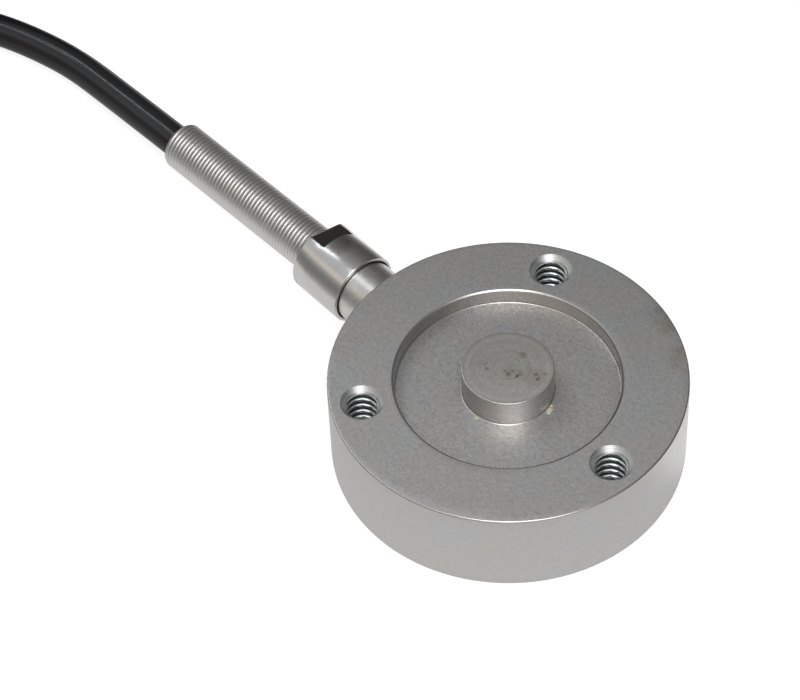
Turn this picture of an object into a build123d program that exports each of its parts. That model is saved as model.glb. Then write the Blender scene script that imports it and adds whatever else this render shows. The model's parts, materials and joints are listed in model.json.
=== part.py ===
from build123d import *
from math import cos, pi, radians, sin, sqrt, tan
import os

os.makedirs("parts", exist_ok=True)

# Button load cell: a turned stainless body with a raised load button on a flexing diaphragm,
# strain gauges bonded under the diaphragm, a welded bottom cover, and a cable gland on the side.
# The frame: origin at the centre of the mounting face, +Z along the load axis through the button,
# +X along the cable exit. All sizes are millimetres.

# Body
body_diameter = 31.75
body_height = 8.85
rim_edge = 0.12
base_edge = 0.15
rim_width = 5.725
recess_depth = 1.6
foot_radius = 0.3
button_diameter = 8.14
button_rise = 1.2
button_edge = 0.15
diaphragm_thickness = 1.6
cavity_step = 0.55
cavity_corner = 0.3
passage_diameter = 2.7
passage_gap = 0.35

# Bottom cover, welded into its seat just above the mounting face
cover_ledge = 0.75
cover_thickness = 1.0
cover_inset = 0.1
cover_clearance = 0.03

# Three tapped holes, 6-32 UNC, through the rim
hole_count = 3
hole_inset = 2.875
hole_first_angle = 60.0
tap_drill = 2.72
hole_mouth = 3.84

# Gauges and terminal board, bonded to the roof of the cavity
gauge_count = 4
gauge_length = 3.0
gauge_width = 2.2
gauge_thickness = 0.12
gauge_tab = 0.5
board_diameter = 6.8
board_thickness = 0.5
pad_diameter = 0.7
pad_height = 0.2
gauge_pad_circle = 5.8
wire_pad_x = 0.6
wire_pad_pitch = 0.9
resistor_length = 1.6
resistor_width = 0.8
resistor_height = 0.5
gauge_wire_diameter = 0.2
gauge_wire_pitch = 1.0
core_diameter = 0.76
core_count = 4
core_offset = 0.6
core_run = 0.6
core_spread = 1.8
balance_resistor_x = -1.95
trim_resistor_x = -0.7
trim_resistor_y = 1.55

# Cable gland: a hollow stem fixed in the body wall, a seal, a thrust washer and a screwed collar
stem_diameter = 6.15
stem_socket_depth = 3.9
stem_reach = 6.7
stem_clearance = 0.03
seal_diameter = 4.8
seal_length = 3.2
seal_clearance = 0.05
washer_thickness = 0.4
collar_wall = 0.28
collar_clearance = 0.145
collar_lift = 0.45
collar_length = 6.0
collar_overlap = 3.0
collar_edge = 0.15
collar_flats = 6.0
collar_flat_length = 1.95
collar_flat_angle = 103.0

# Strain relief spring: close-wound round wire
spring_diameter = 4.65
spring_wire = 0.45
spring_turns = 52
spring_tilt = 3.2
spring_clearance = 0.18
groove_share = 0.3
pivot_inset = 0.6

# Cable, its put-away coil, tie and flying leads
cable_diameter = 3.2
bore_clearance = 0.1
coil_columns = 4
coil_layers = 3
coil_mean_radius = 18.2
coil_centre = (100.29, -8.08)
coil_corner = 1.4
tie_thickness = 0.6
tie_width = 2.6
tie_clearance = 0.08
tie_angle = 55.0
tie_head = (3.6, 4.4, 2.4)
tail_start = 4.0
tail_end = -98.0
sleeve_wall = 0.3
sleeve_length = 8.0
sleeve_overhang = 1.2
lead_circle = 2.1
lead_pitch = 1.2
lead_angles = (0.3, 5.0, 20.0, 46.0, 70.0)
tinned_diameter = 0.6
tinned_length = 4.0
rest_clearance = 0.05

# Diameters, heights and stations worked out from the sizes above
recess_diameter = body_diameter - 2 * rim_width
cavity_diameter = recess_diameter - 2 * cavity_step
cover_diameter = cavity_diameter + 2 * cover_ledge
hole_circle = body_diameter - 2 * hole_inset
gauge_circle = (board_diameter + cavity_diameter) / 2
collar_bore = stem_diameter + 2 * collar_clearance
collar_diameter = collar_bore + 2 * collar_wall
gland_height = collar_diameter / 2 + collar_lift
body_radius = body_diameter / 2
floor_height = body_height - recess_depth
button_top = body_height + button_rise
roof_height = floor_height - diaphragm_thickness
passage_height = roof_height - passage_diameter / 2 - passage_gap
seat_height = cover_inset + cover_thickness
cable_radius = cable_diameter / 2
socket_bottom = body_radius - stem_socket_depth
stem_end = body_radius + stem_reach
collar_start = stem_end - collar_overlap
collar_end = collar_start + collar_length
collar_shoulder = stem_end + washer_thickness
spring_bore = spring_diameter + 2 * spring_clearance
spring_length = spring_turns * spring_wire
jacket_start = socket_bottom + rest_clearance
spring_pivot = (collar_end - pivot_inset, 0.0, gland_height)
coil_radius = coil_mean_radius + coil_columns * cable_radius
coil_bore_radius = coil_mean_radius - coil_columns * cable_radius
coil_bottom = tie_thickness + tie_clearance
coil_top = coil_bottom + coil_layers * cable_diameter
sleeve_radius = cable_radius + sleeve_wall
tail_height = coil_top + sleeve_radius + rest_clearance

# The free cable: out through the spring, down to the floor and on to the coil
cable_route = [
    (jacket_start, 0.0, gland_height),
    spring_pivot,
    (48.4, 0.0, 2.64),
    (63.1, 0.0, 1.6),
    (72.76, 2.59, 1.6),
    (77.96, 5.59, 1.75),
]


def corner_radii(points, largest=400.0):
    """Radius at each corner: 0.45 of the shorter run over the tangent of half the turn."""
    corners = [Vector(*point) for point in points]
    radii = []
    for before, here, after in zip(corners, corners[1:], corners[2:]):
        half_turn = radians((here - before).get_angle(after - here)) / 2
        shorter = min((here - before).length, (after - here).length)
        radii.append(min(0.45 * shorter / tan(half_turn), largest))
    return radii


def tube(points, diameter):
    """A round rod along straight runs joined by tangent arcs."""
    with BuildPart() as rod:
        with BuildLine():
            path = FilletPolyline(*points, radius=corner_radii(points))
        with BuildSketch(Plane(origin=path @ 0, z_dir=path % 0)):
            Circle(diameter / 2)
        sweep()
    return rod.part, path.length


def on_coil(radius, angle, height):
    """A point on the coil, from its radius, its angle in degrees and its height."""
    turn = radians(angle)
    return (coil_centre[0] + radius * cos(turn), coil_centre[1] + radius * sin(turn), height)


def save(piece, name):
    """Label a finished piece and write it to its own file."""
    piece.label = name
    export_step(piece, f"parts/{name}.step")


# Body: one turned piece, with the recess and button on top and the gauge cavity below
with BuildPart() as body:
    with BuildSketch(Plane.XZ) as section:
        with BuildLine():
            Polyline(
                (0, roof_height),
                (cavity_diameter / 2, roof_height),
                (cavity_diameter / 2, seat_height),
                (cover_diameter / 2, seat_height),
                (cover_diameter / 2, 0),
                (body_radius - base_edge, 0),
                (body_radius, base_edge),
                (body_radius, body_height - rim_edge),
                (body_radius - rim_edge, body_height),
                (recess_diameter / 2 + rim_edge, body_height),
                (recess_diameter / 2, body_height - rim_edge),
                (recess_diameter / 2, floor_height),
                (button_diameter / 2, floor_height),
                (button_diameter / 2, button_top - button_edge),
                (button_diameter / 2 - button_edge, button_top),
                (0, button_top),
                close=True,
            )
        make_face()
        feet = section.vertices().filter_by_position(Axis.Y, floor_height, floor_height)
        fillet(feet, foot_radius)
        corners = section.vertices().filter_by_position(Axis.Y, roof_height, roof_height)
        fillet(corners.sort_by(Axis.X)[-1], cavity_corner)
    revolve(axis=Axis.Z)
    with PolarLocations(hole_circle / 2, hole_count, hole_first_angle):
        Cylinder(
            tap_drill / 2,
            body_height,
            align=(Align.CENTER, Align.CENTER, Align.MIN),
            mode=Mode.SUBTRACT,
        )
    mouth_depth = (hole_mouth - tap_drill) / 2
    with Locations((0, 0, body_height - mouth_depth)):
        with PolarLocations(hole_circle / 2, hole_count, hole_first_angle):
            Cone(
                tap_drill / 2,
                hole_mouth / 2,
                mouth_depth,
                align=(Align.CENTER, Align.CENTER, Align.MIN),
                mode=Mode.SUBTRACT,
            )
    with BuildSketch(Plane.YZ.offset(socket_bottom)):
        with Locations((0, gland_height)):
            Circle(stem_diameter / 2 + stem_clearance)
    extrude(amount=stem_socket_depth, mode=Mode.SUBTRACT)
    passage_end = cavity_diameter / 2 - core_run
    passage_run = Vector(passage_end - socket_bottom, 0, passage_height - gland_height)
    with BuildSketch(Plane.YZ.offset(socket_bottom)):
        with Locations((0, gland_height)):
            Circle(passage_diameter / 2)
    extrude(amount=passage_run.length, dir=passage_run.normalized(), mode=Mode.SUBTRACT)
save(body.part, "body")

# Bottom cover
with BuildPart() as bottom_cover:
    with BuildSketch(Plane.XY.offset(cover_inset)):
        Circle(cover_diameter / 2 - cover_clearance)
    extrude(amount=cover_thickness)
save(bottom_cover.part, "bottom_cover")


def polar_plane(angle, height):
    """A plane looking down at a given height, its X axis pointing out at an angle in degrees."""
    outward = (cos(radians(angle)), sin(radians(angle)), 0)
    return Plane(origin=(0, 0, height), x_dir=outward, z_dir=(0, 0, -1))


# Strain gauges, bonded to the roof of the cavity, and the pair of fine wires from each
board_face = roof_height - board_thickness
wire_radius = gauge_wire_diameter / 2
for number in range(gauge_count):
    direction = 45 + number * 360 / gauge_count
    with BuildPart(polar_plane(direction, roof_height)) as strain_gauge:
        with Locations((gauge_circle / 2, 0, 0)):
            Box(
                gauge_length,
                gauge_width,
                gauge_thickness,
                align=(Align.CENTER, Align.CENTER, Align.MIN),
            )
    save(strain_gauge.part, f"strain_gauge_{number + 1}")

    pair = []
    for side in (-1, 1):
        across = side * gauge_wire_pitch / 2
        inner_end = (gauge_pad_circle + pad_diameter) / 2 + 2 * rest_clearance
        outer_end = (gauge_circle - gauge_length) / 2 + gauge_tab
        low = board_thickness + 3 * gauge_wire_diameter
        plane = polar_plane(direction, roof_height)
        points = [
            plane.from_local_coords((outer_end, across, gauge_thickness + wire_radius)),
            plane.from_local_coords(((inner_end + outer_end) / 2, across, low)),
            plane.from_local_coords((inner_end, across / 2, board_thickness + wire_radius)),
        ]
        rod, _ = tube([tuple(point) for point in points], gauge_wire_diameter)
        pair.append(rod)
    save(Compound(children=pair), f"gauge_wires_{number + 1}")

# Terminal board under the stiff centre of the diaphragm
with BuildPart() as terminal_board:
    with BuildSketch(Plane.XY.offset(board_face)):
        Circle(board_diameter / 2)
    extrude(amount=board_thickness)
save(terminal_board.part, "terminal_board")

# Solder joints on the board: one for each gauge, one for each core of the cable
core_rows = [(row - (core_count - 1) / 2) * wire_pad_pitch for row in range(core_count)]
with BuildPart() as solder_joints:
    with BuildSketch(Plane.XY.offset(board_face - pad_height)):
        with PolarLocations(gauge_pad_circle / 2, gauge_count, 45):
            Circle(pad_diameter / 2)
        with Locations(*[(wire_pad_x, row) for row in core_rows]):
            Circle(pad_diameter / 2)
    extrude(amount=pad_height)
save(solder_joints.part, "solder_joints")

# Trimming resistors on the board
resistor_places = {
    "balance_resistor": (balance_resistor_x, 0, 90),
    "span_resistor": (trim_resistor_x, trim_resistor_y, 0),
    "zero_resistor": (trim_resistor_x, -trim_resistor_y, 0),
}
for name, (across, along, angle) in resistor_places.items():
    with BuildPart(Plane.XY.offset(board_face - resistor_height)) as resistor:
        with Locations(Location((across, along, 0), (0, 0, angle))):
            Box(
                resistor_length,
                resistor_width,
                resistor_height,
                align=(Align.CENTER, Align.CENTER, Align.MIN),
            )
    save(resistor.part, name)

# Cores of the cable inside the cavity, from the end of the jacket to their solder joints
core_radius = core_diameter / 2
core_colours = ("red", "black", "green", "white")
pad_face = board_face - pad_height
core_fan = passage_end - core_spread
for number, (colour, row) in enumerate(zip(core_colours, core_rows)):
    sideways = core_offset if number > 1 else -core_offset
    upwards = core_offset if number % 2 else -core_offset
    points = [
        (socket_bottom, sideways, gland_height + upwards),
        (passage_end, sideways, passage_height + upwards),
        (core_fan, row, passage_height + upwards),
        ((core_fan + wire_pad_x) / 2, row, pad_face - 3 * core_radius),
        (wire_pad_x, row, pad_face - core_radius - rest_clearance),
    ]
    rod, _ = tube(points, core_diameter)
    save(rod, f"core_{colour}")

# Gland stem: a hollow turned stub, its inner end in the body wall, its mouth bored for the seal
with BuildPart() as gland_stem:
    with BuildSketch(Plane.YZ.offset(socket_bottom)):
        with Locations((0, gland_height)):
            Circle(stem_diameter / 2)
            Circle(cable_radius + bore_clearance, mode=Mode.SUBTRACT)
    extrude(amount=stem_end - socket_bottom)
    with BuildSketch(Plane.YZ.offset(stem_end - seal_length)):
        with Locations((0, gland_height)):
            Circle(seal_diameter / 2)
    extrude(amount=seal_length, mode=Mode.SUBTRACT)
save(gland_stem.part, "gland_stem")

# Rubber seal round the cable, in the mouth of the stem
with BuildPart() as cable_seal:
    with BuildSketch(Plane.YZ.offset(stem_end - seal_length)):
        with Locations((0, gland_height)):
            Circle(seal_diameter / 2 - seal_clearance)
            Circle(cable_radius + seal_clearance, mode=Mode.SUBTRACT)
    extrude(amount=seal_length)
save(cable_seal.part, "cable_seal")

# Thrust washer between the stem, the seal and the shoulder of the collar
with BuildPart() as thrust_washer:
    with BuildSketch(Plane.YZ.offset(stem_end)):
        with Locations((0, gland_height)):
            Circle(collar_bore / 2 - stem_clearance)
            Circle(cable_radius + bore_clearance, mode=Mode.SUBTRACT)
    extrude(amount=washer_thickness)
save(thrust_washer.part, "thrust_washer")

# Collar: a cap screwed over the stem, with two spanner flats at its outer end
with BuildPart() as gland_collar:
    with BuildSketch(Plane.YZ.offset(collar_start)):
        with Locations((0, gland_height)):
            Circle(collar_diameter / 2)
            Circle(spring_bore / 2, mode=Mode.SUBTRACT)
    extrude(amount=collar_length)
    with BuildSketch(Plane.YZ.offset(collar_start)):
        with Locations((0, gland_height)):
            Circle(collar_bore / 2)
    extrude(amount=collar_shoulder - collar_start, mode=Mode.SUBTRACT)
    rims = gland_collar.edges().filter_by(GeomType.CIRCLE)
    chamfer(rims.group_by(SortBy.RADIUS)[-1], collar_edge)
    flat_depth = (collar_diameter - collar_flats) / 2
    with BuildSketch(Plane.YZ.offset(collar_end - collar_flat_length)):
        with Locations((0, gland_height)):
            with PolarLocations((collar_flats + flat_depth) / 2, 2, collar_flat_angle):
                Rectangle(flat_depth, collar_diameter)
    extrude(amount=collar_flat_length, mode=Mode.SUBTRACT)
save(gland_collar.part, "gland_collar")

# Spring: a close-wound coil drawn as its rings, one groove between each turn and the next
tilt = radians(spring_tilt)
spring_start = collar_shoulder + spring_diameter / 2 * sin(tilt) + rest_clearance / 2
start_height = gland_height + (spring_pivot[0] - spring_start) * tan(tilt)
spring_plane = Plane(
    origin=(spring_start, 0, start_height),
    x_dir=(cos(tilt), 0, -sin(tilt)),
    z_dir=(0, -1, 0),
)
crest = spring_diameter / 2
groove = crest - groove_share * spring_wire
ridges = []
for turn in range(spring_turns):
    ridges.append((turn * spring_wire, groove))
    ridges.append(((turn + 0.5) * spring_wire, crest))
ridges.append((spring_length, groove))
with BuildPart() as strain_relief_spring:
    with BuildSketch(spring_plane):
        with BuildLine():
            Polyline(
                (0, crest - spring_wire),
                *ridges,
                (spring_length, crest - spring_wire),
                close=True,
            )
        make_face()
    revolve(axis=Axis(spring_plane.origin, spring_plane.x_dir))
save(strain_relief_spring.part, "strain_relief_spring")

# Cable: the jacket from the cavity wall to the coil
cable, cable_length = tube(cable_route, cable_diameter)
save(cable, "cable")
print("cable corner radii", [round(radius, 1) for radius in corner_radii(cable_route)])
print("cable length", round(cable_length, 2))
section_volume = pi * cable_radius**2 * cable_length
print("cable volume", round(cable.volume, 2), "section times length", round(section_volume, 2))

# Coil of the put-away length, as its outer shape
with BuildPart() as cable_coil:
    with BuildSketch(Plane.XY.offset(coil_bottom)):
        with Locations(coil_centre):
            Circle(coil_radius)
            Circle(coil_bore_radius, mode=Mode.SUBTRACT)
    extrude(amount=coil_top - coil_bottom)
    fillet(cable_coil.edges().filter_by(GeomType.CIRCLE), coil_corner)
save(cable_coil.part, "cable_coil")

# Tie round the bundle, with its head on the outside of the coil
outward = Vector(cos(radians(tie_angle)), sin(radians(tie_angle)), 0)
along = Vector(0, 0, 1).cross(outward)
bundle_centre = Vector(*on_coil(coil_mean_radius, tie_angle, (coil_bottom + coil_top) / 2))
bundle_width = coil_columns * cable_diameter + 2 * tie_clearance
bundle_depth = coil_layers * cable_diameter + 2 * tie_clearance
tie_plane = Plane(origin=bundle_centre, x_dir=outward, z_dir=along)
with BuildPart() as coil_tie:
    with BuildSketch(tie_plane.offset(-tie_width / 2)):
        RectangleRounded(
            bundle_width + 2 * tie_thickness, bundle_depth + 2 * tie_thickness, coil_corner
        )
        RectangleRounded(
            bundle_width, bundle_depth, coil_corner - tie_thickness, mode=Mode.SUBTRACT
        )
    extrude(amount=tie_width)
    with BuildSketch(tie_plane.offset(-tie_head[0] / 2)):
        with Locations((bundle_width / 2 + tie_head[2] / 2, 0)):
            RectangleRounded(tie_head[2], tie_head[1], tie_thickness / 2)
    extrude(amount=tie_head[0])
save(coil_tie.part, "coil_tie")


def coil_arc(radius, first, last, height, outer, inner=0.0):
    """A round rod or pipe that follows the coil clockwise between two angles in degrees."""
    with BuildPart() as rod:
        with BuildLine():
            path = CenterArc(on_coil(0, 0, height), radius, first, last - first)
        with BuildSketch(Plane(origin=path @ 0, z_dir=path % 0)):
            Circle(outer)
            if inner:
                Circle(inner, mode=Mode.SUBTRACT)
        sweep()
    return rod.part


# Tail of the cable, lying on the coil, and the shrunk sleeve over its end
degree = radians(1) * coil_mean_radius
sleeve_end = tail_end - sleeve_overhang / degree
sleeve_start = sleeve_end + sleeve_length / degree
tail = coil_arc(coil_mean_radius, tail_start, tail_end, tail_height, cable_radius)
save(tail, "cable_tail")
sleeve = coil_arc(
    coil_mean_radius,
    sleeve_start,
    sleeve_end,
    tail_height,
    sleeve_radius,
    cable_radius + rest_clearance / 2,
)
save(sleeve, "end_sleeve")

# Flying leads: four cores and the drain wire, fanned out side by side on top of the coil
lead_height = coil_top + core_radius + rest_clearance
bundle_turns = (180, 252, 108, 324, 36)
lead_names = ("lead_red", "lead_black", "lead_shield", "lead_green", "lead_white")
tips = []
for place, (name, bundle_turn) in enumerate(zip(lead_names, bundle_turns)):
    spread = (place - (len(lead_names) - 1) / 2) * lead_pitch
    beside = lead_circle / 2 * cos(radians(bundle_turn))
    above = lead_circle / 2 * sin(radians(bundle_turn))
    bundled = coil_mean_radius + beside
    fanned = coil_mean_radius + spread
    first, second, third, fourth, fifth = [tail_end - angle for angle in lead_angles]
    points = [
        on_coil(bundled, first, tail_height + above),
        on_coil(bundled, second, tail_height + above),
        on_coil(fanned, third, (tail_height + lead_height) / 2),
        on_coil(fanned, fourth, lead_height),
        on_coil(fanned, fifth, lead_height),
    ]
    rod, _ = tube(points, core_diameter)
    save(rod, name)
    end = Vector(*points[-1])
    heading = (end - Vector(*points[-2])).normalized()
    with BuildPart() as tip:
        with BuildSketch(Plane(origin=end, z_dir=heading)):
            Circle(tinned_diameter / 2)
        extrude(amount=tinned_length)
    tips.append(tip.part)
save(Compound(children=tips), "tinned_ends")
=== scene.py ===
import json
import math

import bmesh
import bpy
import numpy as np
from bpy.props import FloatProperty, FloatVectorProperty, IntProperty, PointerProperty
from mathutils import Matrix, Vector


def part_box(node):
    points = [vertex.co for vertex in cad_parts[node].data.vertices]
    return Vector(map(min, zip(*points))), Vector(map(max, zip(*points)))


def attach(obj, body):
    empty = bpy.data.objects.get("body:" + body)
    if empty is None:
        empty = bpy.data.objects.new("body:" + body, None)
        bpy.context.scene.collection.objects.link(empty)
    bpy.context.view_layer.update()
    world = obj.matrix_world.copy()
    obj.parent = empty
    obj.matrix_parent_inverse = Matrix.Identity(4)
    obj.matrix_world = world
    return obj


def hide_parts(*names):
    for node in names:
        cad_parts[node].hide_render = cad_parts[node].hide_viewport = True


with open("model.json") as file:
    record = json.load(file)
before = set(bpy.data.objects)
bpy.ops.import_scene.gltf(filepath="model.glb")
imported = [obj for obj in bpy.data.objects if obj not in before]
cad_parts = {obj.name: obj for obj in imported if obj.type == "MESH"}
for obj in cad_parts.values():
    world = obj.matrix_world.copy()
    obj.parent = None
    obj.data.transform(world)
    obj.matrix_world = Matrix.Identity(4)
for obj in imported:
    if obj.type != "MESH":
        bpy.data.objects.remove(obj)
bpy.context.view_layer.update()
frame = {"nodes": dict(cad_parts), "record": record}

bl_info = {
    "name": "Button load cell",
    "version": (1, 0, 0),
    "blender": (4, 5, 0),
    "location": "3D View > Sidebar > Load Cell",
    "description": "Builds a button load cell with its gland, spring and cable",
    "category": "Add Mesh",
}

MM = 0.001
UP = np.array([0.0, 0.0, 1.0])
ORIGIN = (0.0, 0.0, 0.0)

# Columns round the body, along a third of an edge of the rim, and across the rim
SEGMENTS = 144
THIRD = SEGMENTS // 3
RUN = 7

# The body's materials, in order, and the radius of a hole at the mounting face in millimetres
OUTER, TOP, CUT, INNER, WALL, SIDE, LIP, EDGE = range(8)
LOWER_MOUTH = 1.5

# Colours of the dirt, and of the painted shade on the collar's flat
STAIN = (0.45, 0.38, 0.26, 1.0)
ADHESIVE = (0.62, 0.57, 0.42, 1.0)
RUST = (0.27, 0.14, 0.075, 1.0)
FLAT_SHADE = (0.08, 0.075, 0.065, 1.0)
OILY = (0.26, 0.2, 0.15, 1.0)

# Places and radii in millimetres: x, y, radius, and for rust its depth
ADHESIVE_CRUMBS = (
    (-0.53, 4.22, 0.24),
    (-4.22, -1.0, 0.34),
    (-4.42, -0.74, 0.22),
    (-3.98, -1.42, 0.2),
)
RUST_SPOTS = (
    (-2.3, -0.9, 1.5, 0.14),
    (-0.6, 0.1, 1.0, 0.14),
    (2.0, 1.3, 0.6, 0.14),
    (0.14, -1.93, 0.5, 0.26),
    (0.22, -2.07, 0.18, 0.3),
    (-0.53, 0.44, 0.26, 0.5),
    (-0.55, -0.07, 0.2, 0.36),
    (-0.08, 0.47, 0.2, 0.3),
    (-1.22, 0.05, 0.22, 0.7),
    (-1.13, -0.33, 0.26, 0.25),
    (-2.22, -1.27, 0.26, 0.4),
    (-2.69, -1.04, 0.28, 0.45),
    (-2.73, -1.9, 0.28, 0.22),
    (1.15, 1.38, 0.2, 0.4),
)


def size(name, description, millimetres, lowest=0.0):
    """A length property, from its default in millimetres and its lowest value in metres."""
    return FloatProperty(
        name=name,
        description=description,
        default=millimetres * MM,
        min=lowest,
        precision=5,
        unit="LENGTH",
    )


def angle(name, description, degrees):
    """An angle property whose default is given in degrees."""
    return FloatProperty(
        name=name, description=description, default=math.radians(degrees), unit="ROTATION"
    )


def colour(name, description, value):
    """A colour property."""
    return FloatVectorProperty(
        name=name, description=description, default=value, size=3, min=0.0, max=1.0, subtype="COLOR"
    )


def power(name, description, watts):
    """The power of a light as a property."""
    return FloatProperty(name=name, description=description, default=watts, min=0.0, unit="POWER")


class LoadCellBody(bpy.types.PropertyGroup):
    """Sizes and colours of the body and its cover."""

    radius: size("Body radius", "Outer radius of the body", 15.875)
    height: size("Rim height", "Height of the rim above the mounting face", 8.85)
    rim_edge: size("Rim edge", "Width of the chamfer on the outer edge of the rim", 0.1)
    rim_drop: size("Rim edge height", "Height of the chamfer on the outer edge", 0.11)
    recess_edge: size("Recess edge", "Width of the chamfer on the inner edge of the rim", 0.17)
    recess_drop: size("Recess edge height", "Height of the chamfer on the inner edge", 0.13)
    edge_round: size("Edge rounding", "Reach of the rounding on the chamfers", 0.05)
    base_edge: size("Base edge", "Radius broken on the edge of the mounting face", 0.15)
    recess_radius: size("Recess radius", "Inner radius of the rim", 10.0)
    floor_height: size("Floor height", "Height of the diaphragm's upper face", 7.25)
    foot: size("Foot radius", "Fillet where the walls meet the diaphragm", 0.12)
    button_radius: size("Button radius", "Radius of the load button", 4.07)
    button_top: size("Button height", "Height of the button above the mounting face", 10.05)
    button_edge: size("Button edge", "Radius broken on the edge of the button", 0.07)
    roof_height: size("Roof height", "Height of the diaphragm's lower face", 5.65)
    cavity_radius: size("Cavity radius", "Radius of the gauge cavity", 9.6)
    seat_radius: size("Seat radius", "Radius of the seat of the bottom cover", 10.35)
    seat_height: size("Seat height", "Depth of the seat above the mounting face", 1.1)
    hole_circle: size("Hole circle radius", "Radius of the circle of the tapped holes", 13.0)
    hole_angle: angle("First hole", "Direction of the first tapped hole", 60.0)
    thread_minor: size("Thread root", "Smallest radius of the thread", 1.36)
    thread_depth: size("Thread depth", "Height of the thread's form", 0.3925)
    thread_pitch: size("Thread pitch", "Distance from one crest to the next", 0.794)
    mouth_radius: size("Hole mouth", "Radius of the countersink", 1.92)
    steel: colour("Steel", "Colour of the blasted steel", (0.66, 0.65, 0.635))


class LoadCellGland(bpy.types.PropertyGroup):
    """Sizes and colours of the stem, the collar and the spring."""

    height: size("Gland height", "Height of the gland's axis", 3.95)
    stem_start: size("Stem start", "Inner end of the stem", 11.975)
    stem_end: size("Stem end", "Outer end of the stem", 22.575)
    stem_radius: size("Stem radius", "Outer radius of the stem", 3.075)
    bore_radius: size("Bore radius", "Radius of the cable's bore", 1.7)
    seal_radius: size("Seal bore", "Radius of the bore for the seal", 2.4)
    seal_length: size("Seal length", "Depth of the bore for the seal", 3.2)
    collar_start: size("Collar start", "Inner end of the collar", 19.575)
    collar_end: size("Collar end", "Outer end of the collar", 25.575)
    collar_radius: size("Collar radius", "Outer radius of the collar", 3.5)
    collar_bore: size("Collar bore", "Radius of the collar's bore over the stem", 3.22)
    collar_mouth: size("Collar mouth", "Radius of the collar's mouth round the spring", 2.505)
    shoulder: size("Shoulder", "Where the collar's bore steps down", 22.975)
    flat_width: size("Flats", "Half the distance across the spanner flats", 3.0)
    flat_start: size("Flat start", "Where the flats begin", 23.625)
    flat_angle: angle("Flat angle", "Direction of the flats round the gland's axis", 103.0)
    socket_radius: size("Socket radius", "Radius of the socket in the body", 3.105)
    passage_radius: size("Passage radius", "Radius of the passage for the cores", 1.35)
    spring_start: size("Spring start", "Inner end of the spring", 23.13)
    spring_radius: size("Spring radius", "Radius of the spring's wire centre", 2.1)
    wire_radius: size("Wire radius", "Radius of the spring's wire", 0.225)
    spring_turns: IntProperty(name="Turns", description="Turns of the spring", default=51, min=4)
    spring_tilt: angle("Spring tilt", "How far the spring droops", 2.9)
    pivot: size("Spring pivot", "Where the spring's axis crosses the gland's", 24.975)
    steel: colour("Steel", "Colour of the turned steel", (0.62, 0.61, 0.59))
    wire: colour("Wire", "Colour of the spring wire", (0.66, 0.65, 0.63))


class LoadCellCable(bpy.types.PropertyGroup):
    """Sizes and colours of the cable, its coil and its fittings."""

    radius: size("Cable radius", "Radius of the jacket", 1.6)
    length: size("Cable length", "Real length of the cable", 1500.0)
    coil_x: size("Coil X", "Centre of the coil along X", 100.29, -1.0)
    coil_y: size("Coil Y", "Centre of the coil along Y", -8.08, -1.0)
    coil_radius: size("Coil radius", "Mean radius of the coil", 18.2)
    coil_bottom: size("Coil bottom", "Height of the coil's underside", 0.68)
    tail_height: size("Tail height", "Height of the tail on the coil", 12.23)
    coil_start: angle("Coil start", "Direction in which the cable meets the coil", 120.0)
    tail_end: angle("Tail end", "Direction in which the jacket ends", -98.0)
    tie_angle: angle("Tie angle", "Direction of the tie", 55.0)
    jacket: colour("Jacket", "Colour of the jacket", (0.01, 0.01, 0.011))


class LoadCellStage(bpy.types.PropertyGroup):
    """The camera, the floor and the light."""

    lens: FloatProperty(name="Lens", description="Focal length", default=135.0, unit="CAMERA")
    distance: size("Distance", "Distance from the camera to its target", 276.05)
    azimuth: angle("Azimuth", "Direction of the camera from the target", 140.7)
    elevation: angle("Elevation", "Height of the camera above the floor", 49.97)
    roll: angle("Roll", "Turn of the camera about its view", -2.82)
    key_power: power("Key light", "Power of the key light", 0.9)
    top_power: power("Top light", "Power of the top light", 0.16)
    strip_power: power("Strip light", "Power of each strip", 0.042)
    fill: FloatProperty(
        name="Fill", description="Strength of the even light", default=0.55, min=0.0
    )


def sizes(group):
    """The lengths of a property group in millimetres, and its other values as they are."""
    values = {}
    for name, kind in group.bl_rna.properties.items():
        if name in ("name", "rna_type"):
            continue
        value = getattr(group, name)
        values[name] = value / MM if kind.type == "FLOAT" and kind.unit == "LENGTH" else value
    return type("Sizes", (), values)


# Shapes


class Shell:
    """Collects patches of points and quads in millimetres, each with a material index."""

    def __init__(self):
        self.points = []
        self.faces = []
        self.marks = []
        self.count = 0

    def grid(self, points, mark=0, closed=True, flip=False):
        """A patch of rows by columns; closed joins its last column to its first."""
        points = np.asarray(points, float)
        rows, columns = points.shape[:2]
        index = np.arange(rows * columns).reshape(rows, columns)
        if closed:
            index = np.concatenate([index, index[:, :1]], axis=1)
        quads = np.stack(
            [index[:-1, :-1], index[:-1, 1:], index[1:, 1:], index[1:, :-1]], axis=-1
        ).reshape(-1, 4)
        if flip:
            quads = quads[:, ::-1]
        self.points.append(points.reshape(-1, 3))
        self.faces.append(quads + self.count)
        self.marks.append(np.full(len(quads), mark, np.int32))
        self.count += rows * columns

    def make(self, name, weld=0.0015, sharp=38.0):
        """Welds the patches, turns the normals outwards and marks the sharp edges."""
        mesh = bpy.data.meshes.new(name)
        mesh.from_pydata(np.concatenate(self.points) * MM, [], np.concatenate(self.faces))
        mesh.polygons.foreach_set("material_index", np.concatenate(self.marks))
        work = bmesh.new()
        work.from_mesh(mesh)
        bmesh.ops.remove_doubles(work, verts=work.verts, dist=weld * MM)
        bmesh.ops.dissolve_degenerate(work, edges=work.edges, dist=weld * MM * 0.5)
        bmesh.ops.recalc_face_normals(work, faces=work.faces)
        open_edges = sum(len(edge.link_faces) != 2 for edge in work.edges)
        work.to_mesh(mesh)
        work.free()
        if open_edges:
            raise RuntimeError(f"{name} has {open_edges} open edges")
        mesh.shade_smooth()
        mesh.set_sharp_from_angle(angle=math.radians(sharp))
        piece = bpy.data.objects.new(name, mesh)
        bpy.context.scene.collection.objects.link(piece)
        return piece


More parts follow.
